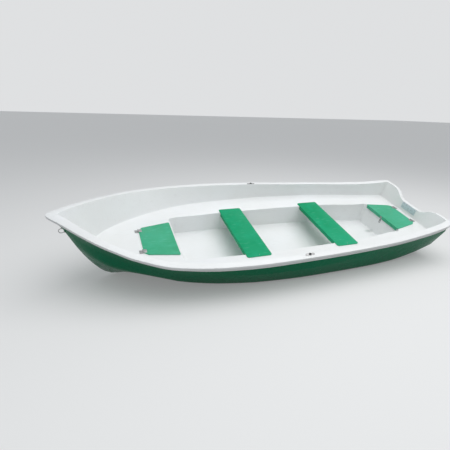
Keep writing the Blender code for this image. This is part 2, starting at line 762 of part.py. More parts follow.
def make_bow_eye(material, parent, collection, cutters):
    """A bent bar through the stem, on two round feet."""
    low = (EYE_HEIGHT - CHINE_SHARES[0][2] * DEPTH)
    rise = KNUCKLE_SHARES[0][2] * DEPTH - CHINE_SHARES[0][2] * DEPTH
    stem_x = STEM_CHINE_X + (STEM_KNUCKLE_X - STEM_CHINE_X) * low / rise
    rake = atan2(STEM_CHINE_X - STEM_KNUCKLE_X, rise)
    obj = tube_object("bow_eye", bow_path(EYE_SPREAD, EYE_REACH, -EYE_FOOT_THICKNESS / 2),
                      EYE_BAR, material, parent, collection)
    feet = []
    for side in (-1, 1):
        foot_mesh = cylinder_mesh("bow_eye_foot", EYE_FOOT_RADIUS, -EYE_FOOT_THICKNESS, 0.0)
        foot_mesh.transform(Matrix.Translation((0.0, 0.0, side * EYE_SPREAD))
                            @ Matrix.Rotation(pi / 2, 4, "Y"))
        feet.append(helper("bow_eye_foot" + str(side + 1), foot_mesh, parent, cutters))
    combine(obj, "UNION", feet)
    place = (Matrix.Translation((stem_x, 0.0, EYE_HEIGHT)) @ Matrix.Rotation(-rake, 4, "Y")
             @ Matrix.Translation((-SEAT_GAP, 0.0, 0.0)))
    for piece in [obj] + feet:
        piece.matrix_local = place
    return obj


def socket_place(side):
    """A frame on the gunwale's top: X along the sheer, Z out of the surface."""
    share = SOCKET_X / LENGTH
    sheer = sheer_point(share)
    along = sheer_along(share)
    inboard = Vector((along.y, -along.x, GUNWALE_CROWN / GUNWALE_WIDTH)).normalized()
    up = inboard.cross(along).normalized()
    origin = sheer + inboard * SOCKET_INSET
    for vector in (along, up, origin):
        vector.y *= side
    across = up.cross(along)
    turn = Matrix((along, across, up)).transposed().to_4x4()
    return Matrix.Translation(origin) @ turn


def make_rowlock_plate(name, side, material, parent, collection, cutters):
    """Long plate with round ends on the gunwale, drilled for the socket."""
    straight = SOCKET_PLATE_HALF_LENGTH - SOCKET_PLATE_HALF_WIDTH
    outline = []
    for end in (1, -1):
        for i in range(ROUND_STEPS // 2 + 1):
            angle = 2 * pi * i / ROUND_STEPS - end * pi / 2
            outline.append((end * straight + SOCKET_PLATE_HALF_WIDTH * cos(angle),
                            SOCKET_PLATE_HALF_WIDTH * sin(angle)))
    mesh = prism_mesh(name, outline, SEAT_GAP, SEAT_GAP + SOCKET_PLATE_THICKNESS)
    obj = new_object(name, mesh, material, parent, collection)
    hole = helper(name + "_hole", cylinder_mesh(
        name + "_hole", SOCKET_TUBE_RADIUS + GAP, -OVERRUN, OVERRUN), parent, cutters)
    combine(obj, "DIFFERENCE", [hole])
    for piece in (obj, hole):
        piece.matrix_local = socket_place(side)
    return obj


def make_socket(name, side, material, parent, collection, cutters):
    """Bush with a collar on the plate and a bore for the rowlock's shank."""
    place = socket_place(side)
    base = SEAT_GAP + SOCKET_PLATE_THICKNESS + GAP
    collar = cylinder_mesh(name, SOCKET_COLLAR_RADIUS, base, base + SOCKET_COLLAR_HEIGHT)
    obj = new_object(name, collar, material, parent, collection)
    tube = helper(name + "_tube", cylinder_mesh(
        name + "_tube", SOCKET_TUBE_RADIUS, SEAT_GAP - SOCKET_LENGTH,
        base + SOCKET_COLLAR_HEIGHT / 2), parent, cutters)
    bore = helper(name + "_bore", cylinder_mesh(
        name + "_bore", SOCKET_BORE_RADIUS, -SOCKET_LENGTH - OVERRUN, OVERRUN), parent, cutters)
    combine(obj, "UNION", [tube])
    combine(obj, "DIFFERENCE", [bore])
    for piece in (obj, tube, bore):
        piece.matrix_local = place
    return obj


def socket_hole(name, side, parent, cutters):
    hole = helper(name, cylinder_mesh(name, SOCKET_TUBE_RADIUS + GAP, -SOCKET_LENGTH, OVERRUN),
                  parent, cutters)
    hole.matrix_local = socket_place(side)
    return hole


def make_motor_plate(material, parent, collection):
    """Plate on the inner transom pad, for an outboard's clamps."""
    z = transom_top(0.0)
    mesh = box_mesh("motor_plate", -PLATE_THICKNESS, 0.0, -PLATE_HALF_WIDTH, PLATE_HALF_WIDTH,
                    -PLATE_HEIGHT - PLATE_DROP, -PLATE_DROP)
    obj = new_object("motor_plate", mesh, material, parent, collection)
    face_x = inner_transom_x(z) - PAD_THICKNESS
    foot_x = LEDGE_STERN_X
    lean = atan2(face_x - foot_x, z - ledge_z(LEDGE_STERN_X))
    obj.matrix_local = (Matrix.Translation((face_x, 0.0, z)) @ Matrix.Rotation(lean, 4, "Y")
                        @ Matrix.Translation((-SEAT_GAP, 0.0, 0.0)))
    return obj


def make_hasp(material, parent, collection, cutters):
    """Slotted strap that hangs on the well's aft wall below the lid."""
    wall_depth = ledge_z(WELL_BACK_X) - SOLE_HEIGHT
    slope = WELL_BACK_SLOPE / wall_depth
    face_x = WELL_BACK_X - slope * HASP_TOP_DROP
    obj = new_object("hasp", box_mesh("hasp", -HASP_THICKNESS, 0.0, -HASP_WIDTH / 2,
                                      HASP_WIDTH / 2, -HASP_LENGTH, 0.0),
                     material, parent, collection)
    slot = helper("hasp_slot", box_mesh(
        "hasp_slot", -OVERRUN, OVERRUN, -SLOT_WIDTH / 2, SLOT_WIDTH / 2,
        -HASP_LENGTH + SLOT_WIDTH, -HASP_LENGTH + SLOT_WIDTH + SLOT_LENGTH), parent, cutters)
    combine(obj, "DIFFERENCE", [slot])
    place = (Matrix.Translation((face_x, 0.0, ledge_z(WELL_BACK_X) - HASP_TOP_DROP))
             @ Matrix.Rotation(atan(slope), 4, "Y")
             @ Matrix.Translation((-SEAT_GAP, 0.0, 0.0)))
    obj.matrix_local = place
    slot.matrix_local = place
    return obj


def make_staple(material, parent, collection, cutters):
    """Small plate with a loop, on the front of the stern lid's lip."""
    middle = (LID_THICKNESS - LID_LIP_DEPTH) / 2 + GAP
    obj = new_object("staple", box_mesh("staple", -STAPLE_THICKNESS, 0.0, -STAPLE_WIDTH / 2,
                                        STAPLE_WIDTH / 2, -STAPLE_HEIGHT / 2, STAPLE_HEIGHT / 2),
                     material, parent, collection)
    loop = tube_object("staple_loop", bow_path(STAPLE_SPREAD, STAPLE_REACH, -STAPLE_THICKNESS / 2),
                       STAPLE_BAR, None, parent, cutters)
    loop.hide_render = True
    loop.display_type = "WIRE"
    combine(obj, "UNION", [loop])
    place = Matrix.Translation((STERN_LID_FRONT_X - GAP, 0.0, middle))
    obj.matrix_local = place
    loop.matrix_local = place
    return obj


def make_material(name):
    colour, roughness, metallic = COLOURS[name]
    material = bpy.data.materials.new(name)
    material.use_nodes = True
    shader = material.node_tree.nodes["Principled BSDF"]
    shader.inputs["Base Color"].default_value = (*colour, 1.0)
    shader.inputs["Roughness"].default_value = roughness
    shader.inputs["Metallic"].default_value = metallic
    material.diffuse_color = (*colour, 1.0)
    return material


def empty(name, parent, collection):
    obj = bpy.data.objects.new(name, None)
    collection.objects.link(obj)
    obj.parent = parent
    return obj


def main():
    clear_scene()
    scene = bpy.context.scene
    collection = bpy.data.collections.new("rowing_boat")
    cutters = bpy.data.collections.new("cutters")
    cutters.hide_render = True
    scene.collection.children.link(collection)
    scene.collection.children.link(cutters)

    boat = empty("boat", None, collection)
    widest_z = DEPTH - LIP_HEIGHT / 2
    boat.location = (-LENGTH / 2, widest_z * sin(DEADRISE), 0.0)
    boat.rotation_euler = (DEADRISE, 0.0, 0.0)
    ledge = empty("ledge", boat, collection)
    ledge.location = (0.0, 0.0, LEDGE_HEIGHT)
    ledge.rotation_euler = (0.0, -LEDGE_PITCH, 0.0)

    materials = {}

    def finish_of(kind, node):
        made = make_material(kind)
        made.name = node + "_" + kind
        materials[node] = made
        return made

    make_hull(finish_of("hull", "hull"), boat, collection)
    holes = [socket_hole("socket_hole" + str(side + 1), side, boat, cutters) for side in (-1, 1)]
    make_liner(finish_of("liner", "liner"), boat, collection, holes)
    for name, x0 in (("thwart_front", THWART_FRONT_X), ("thwart_rear", THWART_REAR_X)):
        make_thwart(name, x0, finish_of("panel", name), ledge, collection, cutters)
    make_bow_lid(finish_of("panel", "bow_lid"), ledge, collection)
    make_stern_lid(finish_of("panel", "stern_lid"), ledge, collection, cutters)
    hinges = (
        ("bow_hinge", BOW_LID_FRONT_X - HINGE_STANDOFF, BOW_HINGE_Y, 1),
        ("stern_hinge", STERN_LID_BACK_X + HINGE_STANDOFF, STERN_HINGE_Y, -1),
    )
    for kind, axis_x, axis_y, way in hinges:
        for side, side_name in ((-1, "port"), (1, "starboard")):
            name = kind + "_" + side_name
            make_hinge(name, axis_x, side * axis_y, way, finish_of("steel", name), ledge,
                       collection, cutters)
    make_hasp(finish_of("steel", "hasp"), boat, collection, cutters)
    make_staple(finish_of("steel", "staple"), ledge, collection, cutters)
    make_bow_eye(finish_of("steel", "bow_eye"), boat, collection, cutters)
    make_motor_plate(finish_of("plate", "motor_plate"), boat, collection)
    for side, side_name in ((-1, "port"), (1, "starboard")):
        name = "rowlock_plate_" + side_name
        make_rowlock_plate(name, side, finish_of("steel", name), boat, collection, cutters)
        name = "rowlock_socket_" + side_name
        make_socket(name, side, finish_of("socket", name), boat, collection, cutters)

    for obj in collection.objects:
        if obj.type == "MESH":
            obj.data.set_sharp_from_angle(angle=radians(30))
            for polygon in obj.data.polygons:
                polygon.use_smooth = True


main()
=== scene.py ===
import json
from math import cos, pi, radians, sin

import bmesh
import bpy
from mathutils import Matrix, Vector
from mathutils.bvhtree import BVHTree

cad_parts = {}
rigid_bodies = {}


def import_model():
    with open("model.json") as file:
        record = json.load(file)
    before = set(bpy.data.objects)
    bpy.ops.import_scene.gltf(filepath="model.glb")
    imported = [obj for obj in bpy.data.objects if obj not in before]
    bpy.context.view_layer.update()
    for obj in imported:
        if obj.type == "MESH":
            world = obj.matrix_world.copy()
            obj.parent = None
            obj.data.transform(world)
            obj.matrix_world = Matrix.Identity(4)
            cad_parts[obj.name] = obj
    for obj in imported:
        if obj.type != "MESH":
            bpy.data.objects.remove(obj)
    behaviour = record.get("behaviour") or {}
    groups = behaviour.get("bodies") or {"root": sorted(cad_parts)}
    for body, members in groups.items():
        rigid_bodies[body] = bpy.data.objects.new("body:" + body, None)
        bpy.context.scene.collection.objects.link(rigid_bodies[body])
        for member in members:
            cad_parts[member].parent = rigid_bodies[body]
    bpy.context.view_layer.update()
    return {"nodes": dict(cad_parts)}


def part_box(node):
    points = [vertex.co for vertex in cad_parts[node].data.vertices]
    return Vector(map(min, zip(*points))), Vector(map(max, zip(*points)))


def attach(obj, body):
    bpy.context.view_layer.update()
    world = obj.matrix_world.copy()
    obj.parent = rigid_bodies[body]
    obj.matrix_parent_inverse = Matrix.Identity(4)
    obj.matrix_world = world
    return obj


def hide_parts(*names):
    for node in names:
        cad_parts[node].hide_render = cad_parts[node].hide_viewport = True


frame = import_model()
print("frame loaded")

# Where the boat's own frame lies: keel level, then heeled to port onto one bottom panel
boatFrame = {
    "heel": radians(15.76),
    "bowX": -2.135,
    "keelY": 0.1473,
    "ledgeZ": 0.3535,
    "ledgeRise": 0.0148,
    "ledgeX": 0.0,
    "middleX": 2.1,
}
boatToWorld = (Matrix.Translation((boatFrame["bowX"], boatFrame["keelY"], 0.0))
               @ Matrix.Rotation(boatFrame["heel"], 4, "X"))
worldToBoat = boatToWorld.inverted()
boatTurn = boatToWorld.to_3x3()
turnBack = worldToBoat.to_3x3()

# The photograph's camera, found from the paving lines and the boat's straight edges
photoCamera = {
    "size": 450,
    "focalPixels": 361.35,
    "sensor": 36.0,
    "place": (-1.732, -3.381, 1.598),
    "turn": radians(20.64),
    "tiltDown": radians(17.41),
    "roll": radians(1.652),
}


def deselectAll():
    if bpy.context.object and bpy.context.object.mode != "OBJECT":
        bpy.ops.object.mode_set(mode="OBJECT")
    bpy.ops.object.select_all(action="DESELECT")


def makeCamera(c):
    data = bpy.data.cameras.new("photoCamera")
    camera = bpy.data.objects.new("photoCamera", data)
    bpy.context.scene.collection.objects.link(camera)
    data.sensor_width = c["sensor"]
    data.lens = c["focalPixels"] / c["size"] * c["sensor"]
    ahead = Vector((sin(c["turn"]) * cos(c["tiltDown"]), cos(c["turn"]) * cos(c["tiltDown"]),
                    -sin(c["tiltDown"])))
    right = Vector((cos(c["turn"]), -sin(c["turn"]), 0.0))
    up = right.cross(ahead)
    x = right * cos(c["roll"]) + up * sin(c["roll"])
    y = up * cos(c["roll"]) - right * sin(c["roll"])
    turn = Matrix((x, y, -ahead)).transposed().to_4x4()
    camera.matrix_world = Matrix.Translation(c["place"]) @ turn
    bpy.context.scene.camera = camera


makeCamera(photoCamera)
print("camera placed")

studio = {
    "floorSize": 240.0,
    "floorSeen": (0.6, 0.6, 0.595),  # what the camera and the gloss see
    "floorGlow": 0.2,
    "floorRoughness": 0.95,
    "floorSheen": 0.05,
    "floorBounce": (0.4, 0.395, 0.39),  # what the floor sends up to the boat
    "backdrop": (0.74, 0.75, 0.76),
    "skyColour": (0.9, 0.95, 1.0),
    "skyStrength": 0.46,
    "softbox": (1.1, -1.0, 5.5),
    "softboxAim": (0.0, 0.2, 0.0),
    "softboxSize": (9.0, 7.0),
    "softboxPower": 312.0,
    "fill": (-4.5, -5.5, 2.6),
    "fillAim": (-0.5, 0.0, 0.3),
    "fillSize": (3.0, 2.0),
    "fillPower": 22.0,
}


def addAreaLight(name, place, aim, size, power):
    data = bpy.data.lights.new(name, "AREA")
    data.shape = "RECTANGLE"
    data.size, data.size_y = size
    data.energy = power
    lamp = bpy.data.objects.new(name, data)
    bpy.context.scene.collection.objects.link(lamp)
    lamp.location = place
    lamp.rotation_euler = (Vector(aim) - Vector(place)).to_track_quat("-Z", "Y").to_euler()


def addNode(tree, kind, **values):
    node = tree.nodes.new("ShaderNode" + kind)
    for name, value in values.items():
        if name in node.inputs:
            node.inputs[name].default_value = value
        else:
            setattr(node, name, value)
    return node


def rayFactor(tree, *kinds):
    # 1 for any of the kinds of ray
    path = addNode(tree, "LightPath")
    factor = path.outputs["Is " + kinds[0] + " Ray"]
    for kind in kinds[1:]:
        either = addNode(tree, "Math", operation="MAXIMUM")
        tree.links.new(factor, either.inputs[0])
        tree.links.new(path.outputs["Is " + kind + " Ray"], either.inputs[1])
        factor = either.outputs[0]
    return factor


def makeFloor(s):
    deselectAll()
    bpy.ops.mesh.primitive_plane_add(size=s["floorSize"], location=(0.0, 0.0, 0.0))
    floor = bpy.context.object
    floor.name = "studioFloor"
    paint = bpy.data.materials.new("paleFloor")
    paint.use_nodes = True
    tree = paint.node_tree
    shader = tree.nodes["Principled BSDF"]
    shader.inputs["Roughness"].default_value = s["floorRoughness"]
    shader.inputs["Specular IOR Level"].default_value = s["floorSheen"]
    seen = rayFactor(tree, "Camera", "Glossy")
    pick = addNode(tree, "Mix", data_type="RGBA")
    pick.inputs["A"].default_value = (*s["floorBounce"], 1.0)
    pick.inputs["B"].default_value = (*s["floorSeen"], 1.0)
    tree.links.new(seen, pick.inputs["Factor"])
    tree.links.new(pick.outputs["Result"], shader.inputs["Base Color"])
    glow = addNode(tree, "Math", operation="MULTIPLY")
    glow.inputs[1].default_value = s["floorGlow"]
    tree.links.new(seen, glow.inputs[0])
    shader.inputs["Emission Color"].default_value = (1.0, 1.0, 1.0, 1.0)
    tree.links.new(glow.outputs[0], shader.inputs["Emission Strength"])
    floor.data.materials.append(paint)


def makeSky(s):
    world = bpy.data.worlds.new("softSky")
    bpy.context.scene.world = world
    world.use_nodes = True
    tree = world.node_tree
    sky = tree.nodes["Background"]
    sky.inputs["Color"].default_value = (*s["skyColour"], 1.0)
    sky.inputs["Strength"].default_value = s["skyStrength"]
    wall = addNode(tree, "Background", Color=(*s["backdrop"], 1.0))
    blend = addNode(tree, "MixShader")
    tree.links.new(rayFactor(tree, "Camera", "Transmission", "Glossy"), blend.inputs[0])
    tree.links.new(sky.outputs[0], blend.inputs[1])
    tree.links.new(wall.outputs[0], blend.inputs[2])
    tree.links.new(blend.outputs[0], tree.nodes["World Output"].inputs["Surface"])


makeFloor(studio)
addAreaLight("overheadSoftbox", studio["softbox"], studio["softboxAim"], studio["softboxSize"],
             studio["softboxPower"])
addAreaLight("bowFill", studio["fill"], studio["fillAim"], studio["fillSize"],
             studio["fillPower"])
makeSky(studio)
bpy.context.scene.view_settings.view_transform = "Standard"
print("studio set")


# Materials: each mixes broad fading, marks and a fine surface from the piece's own coordinates.
# Some colours hold painted light: the hull's darker green and the liner's grey sump patch are
# painted shade, and the seats' and lids' paler edges are partly painted highlight
def noiseFactor(tree, coordinates, scale, detail, low, high, stretch=(1.0, 1.0, 1.0)):
    place = addNode(tree, "Mapping")
    place.inputs["Scale"].default_value = stretch
    tree.links.new(coordinates.outputs["Object"], place.inputs["Vector"])
    noise = addNode(tree, "TexNoise", Scale=scale, Detail=detail)
    tree.links.new(place.outputs[0], noise.inputs["Vector"])
    span = addNode(tree, "MapRange")
    span.inputs["From Min"].default_value = low
    span.inputs["From Max"].default_value = high
    tree.links.new(noise.outputs["Fac"], span.inputs["Value"])
    return span.outputs["Result"]


def mixColours(tree, factor, a, b, strength=1.0):
    mix = addNode(tree, "Mix")
    mix.data_type = "RGBA"
    for socket, colour in ((mix.inputs["A"], a), (mix.inputs["B"], b)):
        if isinstance(colour, tuple):
            socket.default_value = (*colour, 1.0)
        else:
            tree.links.new(colour, socket)
    if strength != 1.0:
        scaled = addNode(tree, "Math", operation="MULTIPLY")
        scaled.inputs[1].default_value = strength
        tree.links.new(factor, scaled.inputs[0])
        factor = scaled.outputs[0]
    tree.links.new(factor, mix.inputs["Factor"])
    return mix.outputs["Result"]


def rangeOf(tree, factor, low, high):
    span = addNode(tree, "MapRange")
    span.inputs["To Min"].default_value = low
    span.inputs["To Max"].default_value = high
    tree.links.new(factor, span.inputs["Value"])
    return span.outputs["Result"]


def addBump(tree, layers):
    # layers: (height, strength, distance), the last one outermost
    normal = None
    for height, strength, distance in layers:
        bump = addNode(tree, "Bump", Strength=strength, Distance=distance)
        tree.links.new(height, bump.inputs["Height"])
        if normal:
            tree.links.new(normal, bump.inputs["Normal"])
        normal = bump.outputs["Normal"]
    tree.links.new(normal, tree.nodes["Principled BSDF"].inputs["Normal"])


def edgeWearAndHighlight(tree, width, low, high):
    # 1 on edges, from how far a rounded normal turns from the true one; it makes edges paler, as
    # wear and as a painted highlight
    rounded = addNode(tree, "Bevel", Radius=width)
    surface = addNode(tree, "NewGeometry")
    product = addNode(tree, "VectorMath", operation="DOT_PRODUCT")
    tree.links.new(rounded.outputs[0], product.inputs[0])
    tree.links.new(surface.outputs["Normal"], product.inputs[1])
    span = addNode(tree, "MapRange")
    span.inputs["From Min"].default_value = low
    span.inputs["From Max"].default_value = high
    tree.links.new(product.outputs["Value"], span.inputs["Value"])
    return span.outputs["Result"]


def startMaterial(name, metallic=0.0, coat=0.0, coatRoughness=0.1, sheen=0.5, ior=1.5):
    made = bpy.data.materials.new(name)
    made.use_nodes = True
    shader = made.node_tree.nodes["Principled BSDF"]
    shader.inputs["Metallic"].default_value = metallic
    shader.inputs["Specular IOR Level"].default_value = sheen
    shader.inputs["IOR"].default_value = ior
    shader.inputs["Coat Weight"].default_value = coat
    shader.inputs["Coat Roughness"].default_value = coatRoughness
    coordinates = addNode(made.node_tree, "TexCoord")
    return made, made.node_tree, shader, coordinates


def markAt(tree, coordinates, place, size):
    # one soft round mark at a place, 1 in its middle and 0 past its edge
    offset = addNode(tree, "VectorMath", operation="SUBTRACT")
    offset.inputs[1].default_value = place
    stretch = addNode(tree, "VectorMath", operation="DIVIDE")
    stretch.inputs[1].default_value = size
    reach = addNode(tree, "VectorMath", operation="LENGTH")
    fade = addNode(tree, "MapRange")
    fade.interpolation_type = "SMOOTHSTEP"
    fade.inputs["From Min"].default_value = 1.0
    fade.inputs["From Max"].default_value = 0.0
    tree.links.new(coordinates.outputs["Object"], offset.inputs[0])
    tree.links.new(offset.outputs[0], stretch.inputs[0])
    tree.links.new(stretch.outputs[0], reach.inputs[0])
    tree.links.new(reach.outputs["Value"], fade.inputs["Value"])
    return fade.outputs["Result"]


gelcoats = {
    # the hull's green is set darker than the seats' green: painted shade for the hull's sides,
    # which face down and away from the sky
    "hull": {"base": (0.002, 0.165, 0.072), "faded": (0.004, 0.185, 0.085),
             "mark": (0.02, 0.23, 0.12), "roughness": (0.24, 0.38), "coat": 0.0,
             "marks": 0.1, "wave": 0.06, "sheen": 0.2, "ior": 1.18, "cloud": 0.5},
    "liner": {"base": (0.83, 0.845, 0.85), "faded": (0.79, 0.8, 0.79), "mark": (0.5, 0.5, 0.47),
              "roughness": (0.3, 0.48), "coat": 0.15, "marks": 0.16, "wave": 0.12,
              "sheen": 0.5, "ior": 1.5, "cloud": 0.5,
              # a grey patch on the sole by the aft wall of the well: painted shade, standing for
              # the shadow in a shallow sump recess that is not modelled
              "sumpShade": (3.725, 0.045, 0.166), "sumpShadeSize": (0.085, 0.05, 0.05),
              "sumpShadeColour": (0.4, 0.43, 0.41), "sumpShadeStrength": 0.75},
    "panel": {"base": (0.002, 0.295, 0.122), "faded": (0.02, 0.365, 0.185),
              "mark": (0.14, 0.52, 0.35), "roughness": (0.42, 0.68), "coat": 0.0, "marks": 0.55,
              "wave": 0.12, "sheen": 0.1, "ior": 1.4, "cloud": 0.8,
              # edge: a paler green along the seats' edges, part wear and part painted highlight
              "edge": (0.16, 0.52, 0.36), "edgeWidth": 0.004, "edgeStrength": 0.7},
    "lid": {"base": (0.02, 0.33, 0.155), "faded": (0.06, 0.42, 0.25),
            "mark": (0.17, 0.55, 0.4), "roughness": (0.42, 0.68), "coat": 0.0, "marks": 0.6,
            "wave": 0.12, "sheen": 0.25, "ior": 1.5, "cloud": 0.9,
            # edge: a paler green along the lids' edges, part wear and part painted highlight
            "edge": (0.16, 0.52, 0.36), "edgeWidth": 0.004, "edgeStrength": 0.6},
}


# scale, detail, the span of the noise that counts, and its stretch
surfaceNoise = {
    "broad": (1.6, 3.0, 0.35, 0.7),
    "cloudy": (9.0, 6.0, 0.45, 0.75),
    "fine": (420.0, 2.0, 0.3, 0.7),
    "scuffs": (30.0, 8.0, 0.58, 0.8, (0.35, 2.2, 1.0)),
    "wave": (3.5, 2.0, 0.0, 1.0),
    "grain": (900.0, 3.0, 0.3, 0.7, (1.0, 0.06, 1.0)),
    "stain": (40.0, 5.0, 0.5, 0.75),
    "grit": (700.0, 3.0, 0.3, 0.7),
    "dust": (25.0, 6.0, 0.5, 0.8),
}

# strength and depth in metres
surfaceBumps = {
    "scuffs": (0.05, 0.0003),
    "fine": (0.05, 0.0002),
    "grain": (0.08, 0.0002),
    "stain": (0.05, 0.0002),
    "grit": (0.12, 0.0002),
}

wear = {
    "waveDepth": 0.004,
    "edgeTurn": (0.995, 0.9),  # cosines between which an edge goes from whole to pale, with wear and a painted highlight
    "edgePatches": (0.25, 1.0),
    "stainShade": 0.7,
    "dustShade": 0.7,
    "dustLift": 0.1,
    "dustCover": 0.5,
}


def patternOf(tree, coordinates, kind):
    return noiseFactor(tree, coordinates, *surfaceNoise[kind])


def gelcoat(name, g):
    made, tree, shader, coordinates = startMaterial(name, coat=g["coat"], sheen=g["sheen"],
                                                    ior=g["ior"])
    broad, cloudy, fine, scuffs = (patternOf(tree, coordinates, kind)
                                   for kind in ("broad", "cloudy", "fine", "scuffs"))
    colour = mixColours(tree, broad, g["base"], g["faded"])
    colour = mixColours(tree, cloudy, colour, g["faded"], g["cloud"])
    colour = mixColours(tree, scuffs, colour, g["mark"], g["marks"])
    # edges paler in patches: wear, and a painted highlight along the rounded edges
    if "edge" in g:
        wornAndHighlit = addNode(tree, "Math", operation="MULTIPLY")
        tree.links.new(edgeWearAndHighlight(tree, g["edgeWidth"], *wear["edgeTurn"]), wornAndHighlit.inputs[0])
        tree.links.new(rangeOf(tree, cloudy, *wear["edgePatches"]), wornAndHighlit.inputs[1])
        colour = mixColours(tree, wornAndHighlit.outputs[0], colour, g["edge"], g["edgeStrength"])
    # the grey sump patch: painted shade of a sump recess, mixed into the colour
    if "sumpShade" in g:
        sumpShade = markAt(tree, coordinates, boatToWorld @ Vector(g["sumpShade"]), g["sumpShadeSize"])
        colour = mixColours(tree, sumpShade, colour, g["sumpShadeColour"], g["sumpShadeStrength"])
    tree.links.new(colour, shader.inputs["Base Color"])
    tree.links.new(rangeOf(tree, cloudy, *g["roughness"]), shader.inputs["Roughness"])
    wave = patternOf(tree, coordinates, "wave")
    addBump(tree, ((wave, g["wave"], wear["waveDepth"]), (scuffs, *surfaceBumps["scuffs"]),
                   (fine, *surfaceBumps["fine"])))
    return made


def brushedSteel(name, colour, roughness, metallic=1.0):
    made, tree, shader, coordinates = startMaterial(name, metallic)
    grain = patternOf(tree, coordinates, "grain")
    stain = patternOf(tree, coordinates, "stain")
    darker = tuple(value * wear["stainShade"] for value in colour)
    tree.links.new(mixColours(tree, stain, colour, darker), shader.inputs["Base Color"])
    tree.links.new(rangeOf(tree, grain, *roughness), shader.inputs["Roughness"])
    addBump(tree, ((grain, *surfaceBumps["grain"]), (stain, *surfaceBumps["stain"])))
    return made


def moulded(name, colour, roughness):
    made, tree, shader, coordinates = startMaterial(name)
    grit = patternOf(tree, coordinates, "grit")
    dust = patternOf(tree, coordinates, "dust")
    pale = tuple(value * wear["dustShade"] + wear["dustLift"] for value in colour)
    dusted = mixColours(tree, dust, colour, pale, wear["dustCover"])
    tree.links.new(dusted, shader.inputs["Base Color"])
    tree.links.new(rangeOf(tree, grit, *roughness), shader.inputs["Roughness"])
    addBump(tree, ((grit, *surfaceBumps["grit"]),))
    return made


finishes = {
    "hull": gelcoat("hullGreen", gelcoats["hull"]),
    "liner": gelcoat("linerWhite", gelcoats["liner"]),
    "panel": gelcoat("seatGreen", gelcoats["panel"]),
    "lid": gelcoat("lidGreen", gelcoats["lid"]),
    "steel": brushedSteel("stainless", (0.4, 0.4, 0.4), (0.25, 0.45)),
    "plate": brushedSteel("dullPlate", (0.6, 0.67, 0.72), (0.45, 0.65), 0.1),
    "socket": moulded("blackBush", (0.02, 0.02, 0.022), (0.35, 0.55)),
}
nodeFinishes = (("hull", "hull"), ("liner", "liner"), ("thwart", "panel"), ("bow_lid", "lid"),
                ("stern_lid", "lid"), ("motor_plate", "plate"), ("rowlock_socket", "socket"))
for nodeName in frame["nodes"]:
    kind = "steel"
    for word, finish in nodeFinishes:
        if nodeName.startswith(word) and "hinge" not in nodeName:
            kind = finish
    bpy.data.objects[nodeName].material_slots[0].material = finishes[kind]
print("materials made")


def takeNode(nodeName, pieceName, twist=2.0):
    # a merged copy of a CAD node, to be worked on as a piece of its own
    deselectAll()
    piece = bpy.data.objects.new(pieceName, bpy.data.objects[nodeName].data.copy())
    bpy.context.scene.collection.objects.link(piece)
    bpy.context.view_layer.objects.active = piece
    piece.select_set(True)
    bpy.ops.object.mode_set(mode="EDIT")
    bpy.ops.mesh.select_all(action="SELECT")
    bpy.ops.mesh.remove_doubles(threshold=0.00002)
    bpy.ops.mesh.tris_convert_to_quads(face_threshold=radians(twist), shape_threshold=pi)
    bpy.ops.mesh.select_all(action="DESELECT")
    return piece


def applyAll(piece):
    deselectAll()
    bpy.context.view_layer.objects.active = piece
    piece.select_set(True)
    for modifier in list(piece.modifiers):
        bpy.ops.object.modifier_apply(modifier=modifier.name)


def finishPiece(piece, body, nodes, finish):
    piece.data.materials.clear()
    piece.data.materials.append(finishes[finish])
    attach(piece, body)
    if nodes:
        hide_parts(*nodes)


def weightLayer(mesh):
    return (mesh.edges.layers.float.get("bevel_weight_edge")
            or mesh.edges.layers.float.new("bevel_weight_edge"))


def roundByWeight(piece, width, segments, wall=0.0):
    bpy.ops.object.mode_set(mode="OBJECT")
    rounding = piece.modifiers.new("rounding", "BEVEL")
    rounding.width = width
    rounding.segments = segments
    rounding.limit_method = "WEIGHT"
    rounding.use_clamp_overlap = False
    rounding.loop_slide = False
    if wall:
        skin = piece.modifiers.new("wall", "SOLIDIFY")
        skin.thickness = wall
        skin.offset = -1.0
    evened = piece.modifiers.new("evened", "WEIGHTED_NORMAL")
    evened.keep_sharp = True
    applyAll(piece)


linerLook = {
    "wall": 0.005,
    "solePoint": (2.3, 0.0, 0.166),
    "flatTwist": 0.1,  # degrees between two triangles that are joined, at first
    "wallTwist": 20.0,  # and once the hidden skin is gone
    "shortest": 0.0015,
    "roundest": 0.01,
    "cove": 1.0,  # shares of the roundest edge
    "cutCorner": 0.6,
    "wellEdge": 0.5,
    "gunwaleEdge": 0.34,
    "stepEdge": 0.12,
    "segments": 4,
    "socketReach": 0.0115,
    "socketDepth": 0.04,
    "startOff": 0.4,  # of the wall, from which a face looks out
    "lookLength": 3.0,
    "lookLean": 0.3,
    "sideUp": 0.7,
    "underUp": -0.9,
    "ledgeSlack": 0.001,
    "flatFaces": 0.5,
    "smooth": 34.0,
}

# which edge of the moulding is which: turns in degrees, heights above the ledge in metres
linerEdges = {
    "flatTurn": 22.0,
    "coveTurn": 60.0,
    "coveBelow": 0.1,
    "wellBelow": 0.02,
    "topUp": 0.8,
}


def aboveLedge(point):
    place = worldToBoat @ point
    return place.z - boatFrame["ledgeZ"] - boatFrame["ledgeRise"] * (place.x - boatFrame["ledgeX"])


